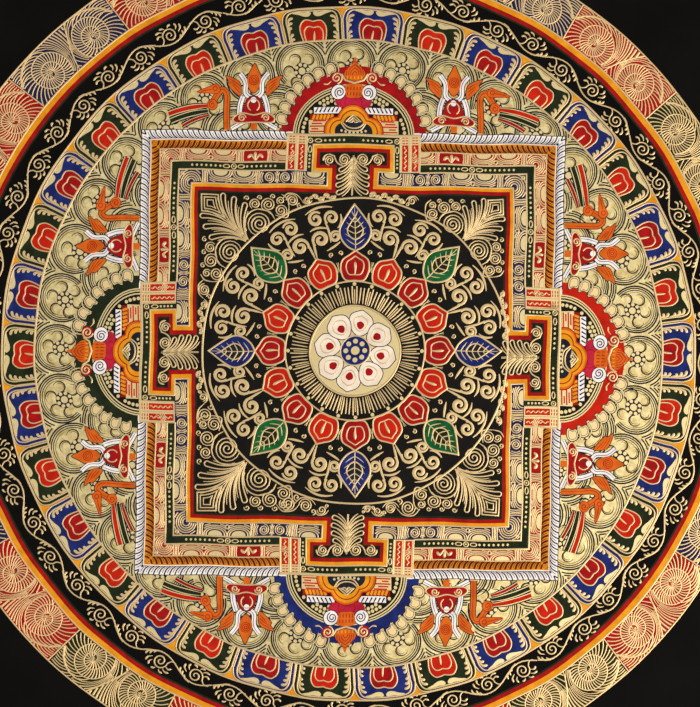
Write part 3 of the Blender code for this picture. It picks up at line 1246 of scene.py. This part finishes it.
# %% [markdown]
# ## Vases and streamers
# Between each gate and corner stand a vase of flames, tied with a white scarf, and a bent orange
# staff with striped streamers. Both are drawn in their common form.

# %% Vases and streamers
VASE_X, STAFF_X, ROOF = 61.5, 78.0, 130.6j
WING = (8.0 + 20.4j, 8.4 + 27.4j, 12.2 + 30.2j, 17.6 + 31.8j, 15.4 + 28.6j, 15.8 + 26.6j, 11.6 + 22.4j)
STAFF_HEAD = (4.4 + 24.0j, 6.6 + 26.8j, 10.0 + 25.4j, 18.2 + 21.8j, 11.4 + 21.6j, 6.0 + 21.6j)


def ribbon(material, points, width, fold=INDIGO):
    """A band of silk with a dark edge and a fine fold line along it."""
    path = smooth(points, 4)
    vases.line(INDIGO, 24, path, width + 0.9)
    vases.line(material, 25, path, width)
    side = path + 0.1 * width * 1j * np.gradient(path) / np.abs(np.gradient(path))
    vases.line(fold, 26, side, 0.35, 0.6, 0.6)


def vase_half():
    """The right half of a vase, its foot at the origin."""
    wing = smooth(WING, 3, closed=True)
    vases.line(INDIGO, 24, wing, 0.8, closed=True)
    vases.field(MINIUM, 25, wing)
    for y in (26.0, 24.0, 22.0):
        lick = bezier(8.6 + 1j * y, 11 + 1j * (y + 2.6), 16.4 - 0.8 * (26 - y) + 1j * (y + 4.6), 5)
        vases.line(LAKE, 26, lick, 0.4, 0.6, 0.3)
    ribbon(CHALK, [5.8 + 5.0j, 9.0 + 3.4j, 13.8 + 0.9j], 2.4)
    ribbon(CHALK, [6.4 + 20.0j, 8.2 + 14.6j, 8.8 + 8.4j], 2.8)
    ribbon(CHALK, [0.8 + 18.6j, 4.8 + 21.6j, 5.2 + 28.4j, 8.8 + 33.4j], 2.6)
    vases.gold(30, spiral(7.2 + 7.2j, 2.5, 0.4, -90, 560, 14), 0.7)


def vase_middle():
    base = both((7.4 + 10.2j, 12.6 + 7.2j, 10.4 + 4.4j), 8.8j, 4.6j)
    vases.field(MINIUM, 24, rect(-1.9, 1.9, 0.2, 5.0))
    for material, *outline in (
        (LAKE, (3.4 + 19.0j, 6.4 + 11.0j, 5.6 + 9.0j), 20.0j, 8.0j),
        (MINIUM, (1.9 + 35.8j, 4.2 + 31.0j, 3.4 + 25.4j), 39.2j, 21.8j),
    ):
        vases.line(INDIGO, 24.5, both(*outline), 0.9, closed=True)
        vases.field(material, 25.5, both(*outline))
    vases.field(LAKE, 28.5, base)
    vases.gold(29, base, 0.8, closed=True)
    vases.gold(26.5, arc(14.6j, 3.6, -150, 150, 12), 0.7)
    for size in (0.9, 1.9, 2.9):
        vases.line(LAKE, 26.5, ring(29.4j, size, 12), 0.4, closed=True)
    vases.line(INDIGO, 27, ring(17.6j, 2.0, 12), 0.5, closed=True)
    vases.field(CHALK, 28, ring(17.6j, 1.8, 12))


def staff():
    """A bent orange staff, its foot at the origin, with its streamers hung outwards."""
    for start, end, width, material in (
        (12.0 + 14.0j, 35.6 + 8.6j, 3.4, VERMILION),
        (11.4 + 11.0j, 34.4 + 4.4j, 3.4, PINE),
        (10.6 + 8.6j, 27.0 + 1.6j, 2.2, LAKE),
    ):
        path = bezier(start, (start + end) / 2 + 1.6j, end, 10)
        vases.line(INDIGO, 22, path, width + 1.3, 0.6, 1.0)
        vases.line(GROUND_GOLD, 24, path, width, 0.6, 1.0)
        vases.line(material, 26, path, 0.68 * width, 0.7, 1.0)
    ribbon(MINIUM, [0.4j, 12j, 21.0j, 3.6 + 23.6j, 8.4 + 16.4j], 3.2, LAKE)
    for shape, width in ((ring(8.8 + 14.8j, 3.0, 14), 0.7), (smooth(STAFF_HEAD, 4, closed=True), 0.8)):
        vases.line(LAKE, 26, shape, width, closed=True)
        vases.field(MINIUM, 27, shape)
    vases.line(LAKE, 28, spiral(8.8 + 14.8j, 2.2, 0.4, 0, 480, 12), 0.4)
    vases.line(LAKE, 28, ring(7.4 + 24.2j, 1.3, 8), 0.4, closed=True)
    vases.line(LAKE, 28, bezier(9.4 + 23.6j, 12 + 23.4j, 16 + 22.0j, 5), 0.4)


vases = Region("vases")
for _ in half_walls(vases):
    half_wall = vases.bend
    vases.bend = lambda points: half_wall(STAFF_X + ROOF + points)
    staff()
    vases.bend = lambda points: half_wall(VASE_X + ROOF + points)
    vase_half()
    vase_middle()
    vases.bend = lambda points: half_wall(VASE_X + ROOF + mirrored(points))
    vase_half()
vases.finish()

# %% [markdown]
# ## Palmettes in the palace's corners
# The black floor of the palace is filled with gold line work round the medallion. In each corner
# stands a palmette: a square tipped leaf, three looped leaves on each side and two large scrolls
# at its foot. It is set between the corner and the medallion's rim, a little larger or smaller
# as the room there allows.

# %% Corner palmettes
MEDALLION_CENTRE = 8.6 + 0.8j
MEDALLION_RADIUS = 91.8
FLOOR = 25  # coat of the gold on the palace's floor
PALMETTE = 36.9  # from its foot to its tip


def palmette_half():
    """The right half of the leaves and scrolls, foot at the origin, tip upwards."""
    for a, b, c in (
        (0.4 + 10j, 1.4 + 20.8j, 8.3 + 27.6j),
        (0.6 + 5j, 1.9 + 15.2j, 11.6 + 22.0j),
        (0.8 + 1j, 2.4 + 9.8j, 13.6 + 15.4j),
    ):
        floor_gold.gold(FLOOR, loop(bezier(a, b, c, 14), 2.7), 0.75, closed=True)
        floor_gold.gold(FLOOR, bezier(a + 1.5j, b + 2.6j, c + 1.4j - 3.2, 8), 0.65, 0.8, 0.5)
        floor_gold.gold(FLOOR, bezier(a - 1.0j, b - 2.2j + 0.6, c - 3.6j - 1.2, 8), 0.65, 0.8, 0.5)
    floor_gold.gold(FLOOR, spiral(11.8 + 2.2j, 6.9, 0.6, -118, 1130, 46), 0.85, 0.6, 0.6)
    stem = np.append([0.9 + 1.6j, 2.6 + 4.4j], arc(11.8 + 2.2j, 8.4, -72, 95, 12))
    floor_gold.gold(FLOOR, stem, 0.75, 0.5, 0.5)
    # Each row: hub, outer and inner radius, start, turn, steps, width
    for *scroll, width in (
        (18.2 + 11.9j, 3.2, 0.4, -100, 760, 25, 0.75),
        (23.1 + 6.1j, 4.2, 0.4, -100, 900, 30, 0.75),
        (25.6 - 1.4j, 3.7, 0.4, 200, -820, 27, 0.75),
        (29.6 + 2.6j, 2.4, 0.4, -100, 600, 20, 0.75),
        (17.2 + 17.4j, 1.6, 0.3, -60, 420, 10, 0.65),
        (22.6 + 12.4j, 1.5, 0.3, -60, 420, 10, 0.65),
        (28.2 + 7.4j, 1.5, 0.3, -60, 420, 10, 0.65),
    ):
        floor_gold.gold(FLOOR, spiral(*scroll), width, 0.7, 0.6)
    for pull in (
        (17.0 + 8.6j, 20.6 + 3.0j, 19.6 - 2.4j),
        (21.6 - 1.0j, 25.2 - 6.6j, 30.4 - 3.2j),
        (30.4 - 3.2j, 33 + 0.6j, 32.6 + 4.6j),
    ):
        floor_gold.gold(FLOOR, smooth(pull, 5), 0.75, 0.5, 0.5)


tip = over(np.append(smooth([18j, 2.2 + 23.6j, 4.6 + 27.4j], 3), [6.6 + 29.8j, 36.9j]))[:-1]
floor_gold = Region("floor")
for side in range(SIDES):
    corner = on_palace((HALF_PALACE - FLOOR_INSET - 2.2) * (1 + 1j), side)
    outwards = (corner - MEDALLION_CENTRE) / abs(corner - MEDALLION_CENTRE)
    foot = MEDALLION_CENTRE + outwards * (MEDALLION_RADIUS + 1.0)
    size = abs(corner - foot) / PALMETTE
    for hand in floor_gold.hands(lambda points: foot + points * -1j * outwards * size):
        palmette_half()
        if hand > 0:
            floor_gold.gold(FLOOR, [0.6j, 21j], 1.5, 0.6, 0.3)
            for share, width in ((1.0, 0.8), (0.68, 0.7), (0.36, 0.6)):
                floor_gold.gold(FLOOR, 29.5j + (tip - 29.5j) * share, width, closed=True)

# %% [markdown]
# ## Chains of scrolls
# Between a palmette and a gate the gap narrows from a finger's breadth to nothing. Each scroll
# is sized by the gap where it stands and turns against the one before.

# %% Scroll chains
def rim_height(x):
    """How high the medallion's rim stands at x, in the frame of the half wall at hand."""
    heights = np.arange(50, 100, 0.25)
    away = np.abs(floor_gold.bend(x + 1j * heights) - MEDALLION_CENTRE)
    return heights[np.argmax(away > MEDALLION_RADIUS)]


CHAIN_START, CHAIN_END = 37.0, 11.5  # mm from the wall's middle, at the palmette and at the gate
LEAST, MOST = 1.3, 4.5  # mm, radius of a scroll
wall = HALF_PALACE - FLOOR_INSET - 2.0
for _ in half_walls(floor_gold):
    x, turn = CHAIN_START, 1
    while x > CHAIN_END:
        low = rim_height(x) + 1.4
        size = min(max((wall - low) / 2 - 0.2, LEAST), MOST)
        hub = x + 1j * ((wall + low) / 2 + (0.8 if turn > 0 else -0.4))
        winding = 900 if size > 3 else 620
        scroll = spiral(hub, size, 0.4, 90, -turn * winding, int(winding / 28))
        floor_gold.gold(FLOOR, scroll, 0.75, 0.7, 0.6)
        swing = turn * 1j * np.array([0.2, 1.05, 0.9, 0.1]) + np.array([1.6, 0.7, -0.7, -1.5])
        floor_gold.gold(FLOOR, smooth(hub + size * swing, 4), 0.7, 0.5, 0.5)
        bud = hub - turn * 1j * (size - 0.6) - size * 1.15
        floor_gold.gold(FLOOR, spiral(bud, 0.45 * size, 0.3, 0, turn * 400, 10), 0.65)
        x -= 2.25 * size + 0.6
        turn = -turn
floor_gold.finish()

# %% [markdown]
# ## The medallion
# The middle of the palace holds a plain lotus wheel: leaves of blue and green between gold clouds
# on black, red petals, gold rays, and an ivory flower on a gold disc. One half of one sector is
# drawn and then mirrored and turned.

# %% Lotus wheel
def sectors(count, start=0.0):
    """Sets the wheel's bend to each half of each of its sectors in turn."""
    for k in range(count):
        turn = polar(1, start + 360 * k / count) * -1j
        for hand in wheel.hands(lambda points: MEDALLION_CENTRE + points * turn):
            yield k, hand


def two_sided(right):
    """A closed outline from the foot on the axis, up the right side, to the tip on the axis."""
    return over(smooth(right, 5))[:-1]


LEAF = two_sided((60j, 4.6 + 62.4j, 8.6 + 67.6j, 9.4 + 73.4j, 6.0 + 79.8j, 88j))
CORE = 73j + 0.5 * (LEAF - 73j)
RED_PETAL = two_sided((42j, 5.6 + 42.4j, 8.4 + 48.6j, 7.6 + 54.4j, 3.4 + 57.6j, 60j))
IVORY_PETAL = two_sided((9j, 3.4 + 10.6j, 6.8 + 16.0j, 6.0 + 21.2j, 24.6j))
# Each row: hub, size, width, turn, start
CLOUD_SCROLLS = (
    (6.4 + 70j, 5.0, 2.5, 520, -120),
    (8.2 + 82.2j, 4.6, 2.2, -520, 60),
    (17.6 + 79.6j, 4.4, 2.1, 520, -120),
    (15.2 + 68.4j, 3.4, 1.8, -520, 60),
)
CLOUD_STEMS = (
    (0.6 + 60j, 1.0 + 66j, 2.2 + 72.6j),
    (11.4 + 66j, 13.6 + 74j, 12.8 + 78.6j),
    (2.0 + 76.4j, 7.6 + 78.4j, 12.8 + 74.4j),
    (3.2 + 86.6j, 12.6 + 90.2j, 20.6 + 85.2j),
    (18.4 + 72.6j, 22.6 + 73.6j, 23.6 + 79.4j),
    (7.4 + 62.2j, 12.6 + 62.8j, 16.6 + 64.2j),
)

wheel = Region("wheel")
for k, hand in sectors(8):
    if hand > 0:
        wheel.field((AZURITE, MALACHITE)[k % 2], 26, LEAF)
        wheel.field((INDIGO, PINE)[k % 2], 27, CORE)
        wheel.gold(27, LEAF, 1.0, closed=True)
        wheel.gold(27, CORE, 0.7, closed=True)
        wheel.gold(28, [61j, 86j], 1.0, 0.6, 0.3)
    for n, reach in enumerate((5.4, 6.2, 6.2, 5.2, 3.6, 1.8)):
        foot = 63.5 + 3.4 * n
        vein = bezier(1j * foot, 0.42 * reach + 1j * (foot + 0.8), reach + 1j * (foot + 3.6), 5)
        wheel.gold(28, vein, 0.6, 0.8, 0.3)
for _ in sectors(8, 22.5):
    for hub, size, width, turn, start in CLOUD_SCROLLS:
        wheel.gold(26, spiral(hub, size, 0.9, start, turn, 22), width, 0.5, 0.4, section=LOW)
    for stem in CLOUD_STEMS:
        wheel.gold(26, bezier(*stem), 1.3, 0.3, 0.5, section=LOW)
for k, hand in sectors(16):
    if hand > 0:
        wheel.field((LAKE, VERMILION)[k % 2], 26, 50j + 0.97 * (RED_PETAL - 50j))
        wheel.gold(27, RED_PETAL, 0.9, closed=True)
        wheel.gold(27, 50.5j + 0.62 * (RED_PETAL - 50j), 0.7, closed=True)
        wheel.dab(28, [45.4j, 0.3 + 49j, 53.4j], 1.6)
    wheel.gold(26, spiral(8.9 + 58.9j, 1.5, 0.4, 200, 420, 9), 0.6)
    wheel.gold(26, [10.0 + 46.6j, 10.0 + 53.0j], 0.9, 0.4, 0.4)
for _, hand in sectors(24):
    wheel.gold(26, bezier(1.0 + 28.2j, 1.4 + 32j, 1.4 + 38.6j, 5), 0.85, 0.5, 0.9)
    wheel.gold(26, bezier(2.6 + 28.2j, 3.3 + 32j, 3.9 + 37.8j, 5), 0.75, 0.5, 0.9)
    if hand > 0:
        wheel.field(GROUND_GOLD, 27, ring(39.9j, 1.15, 8))
        wheel.gold(26, [28j, 36.6j], 0.9, 0.5, 0.7)
for k, hand in sectors(8, 11.25):
    if hand > 0:
        coat = 28 + 1.2 * (k % 2)
        wheel.field(INDIGO, coat, 17j + 1.07 * (IVORY_PETAL - 17j))
        wheel.field(IVORY, coat + 0.6, IVORY_PETAL)
        wheel.field(LAKE, 31, 15.5j + 0.32 * (IVORY_PETAL - 17j))
        wheel.gold(31, 16.6j + 0.6 * (IVORY_PETAL - 17j), 0.6, closed=True)

wheel.bend = lambda points: MEDALLION_CENTRE + points
wheel.field(LAMP_BLACK, 25.2, ring(0j, MEDALLION_RADIUS, 96))
wheel.field(GROUND_GOLD, 27, ring(0j, 26.4, 60))
wheel.field(AZURITE, 32, ring(0j, 8.6, 30))
wheel.field(GROUND_GOLD, 33, *[ring(polar(5.6, 45 * k), 1.5, 10) for k in range(8)])
wheel.field(GROUND_GOLD, 33, ring(0j, 2.6, 14))
for radius, width in ((MEDALLION_RADIUS, 1.1), (41.6, 0.9), (27.0, 1.0), (8.8, 0.9)):
    wheel.gold(29, ring(0j, radius, 120), width, closed=True)
wheel.finish()

# %% [markdown]
# ## Stage
# A pale floor under the hanging, a wide soft light low at the viewer's right, where the
# picture's gold is brightest, and a camera straight in front.

# %% Floor, lights and camera
PIXEL = 0.6  # mm of canvas in one of the picture's 700 columns
VIEW_CENTRE = 5.6 - 0.7j
VIEW_WIDTH = 700 * PIXEL / 1000
CAMERA_AWAY = 1.7

bpy.ops.object.select_all(action="DESELECT")
bpy.ops.mesh.primitive_plane_add(size=6, location=(0, 0, -1.4))
floor = bpy.context.view_layer.objects.active
floor.name = "floor"
floor_material, tree, shader, place = new_material("pale studio floor")
shader.inputs["Base Color"].default_value = linear("d9d7d2")
shader.inputs["Roughness"].default_value = 0.85
floor.data.materials.append(floor_material)
floor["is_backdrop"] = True

scene = bpy.context.scene
scene.view_settings.view_transform = "Standard"
world = bpy.data.worlds.new("studio")
world.use_nodes = True
world.node_tree.nodes["Background"].inputs["Color"].default_value = linear("ebe7df")
world.node_tree.nodes["Background"].inputs["Strength"].default_value = 0.55
scene.world = world

target = Vector((VIEW_CENTRE.real / 1000, 0, (VIEW_CENTRE.imag + middle_height) / 1000))


def softbox(name, place, size, power, tint):
    light = bpy.data.lights.new(name, "AREA")
    light.shape, light.size, light.size_y = "RECTANGLE", *size
    light.energy, light.color = power, linear(tint)[:3]
    lamp = bpy.data.objects.new(name, light)
    lamp.location = place
    lamp.rotation_euler = (target - Vector(place)).to_track_quat("-Z", "Y").to_euler()
    scene.collection.objects.link(lamp)


softbox("key_softbox", (0.95, -1.3, -0.8), (0.9, 0.9), 24, "fff4e2")
softbox("fill_softbox", (-1.2, -1.7, 0.0), (1.2, 1.2), 7, "fff8ee")

camera_data = bpy.data.cameras.new("camera")
camera_data.sensor_fit = "HORIZONTAL"
camera_data.lens = camera_data.sensor_width * CAMERA_AWAY / VIEW_WIDTH
camera = bpy.data.objects.new("camera", camera_data)
camera.location = target + Vector((0, -CAMERA_AWAY, 0))
camera.rotation_euler = (math.radians(90), 0, 0)
scene.collection.objects.link(camera)
scene.camera = camera

# %% [markdown]
# ## Bounds
# The sheet was cut with its hem, so its flat size is the finished one plus a hem on every side. The brush
# sections are removed, and the bounds of the imported solid and of the whole scene are gathered together.

# %% Clear away the sections, and sizes
for section in (RIDGE, LOW, FLAT):
    bpy.data.objects.remove(section, do_unlink=True)
boxes = {"cad": cad_box, "visual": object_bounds()}
{name: [list(map(float, corner)) for corner in box] for name, box in boxes.items()}
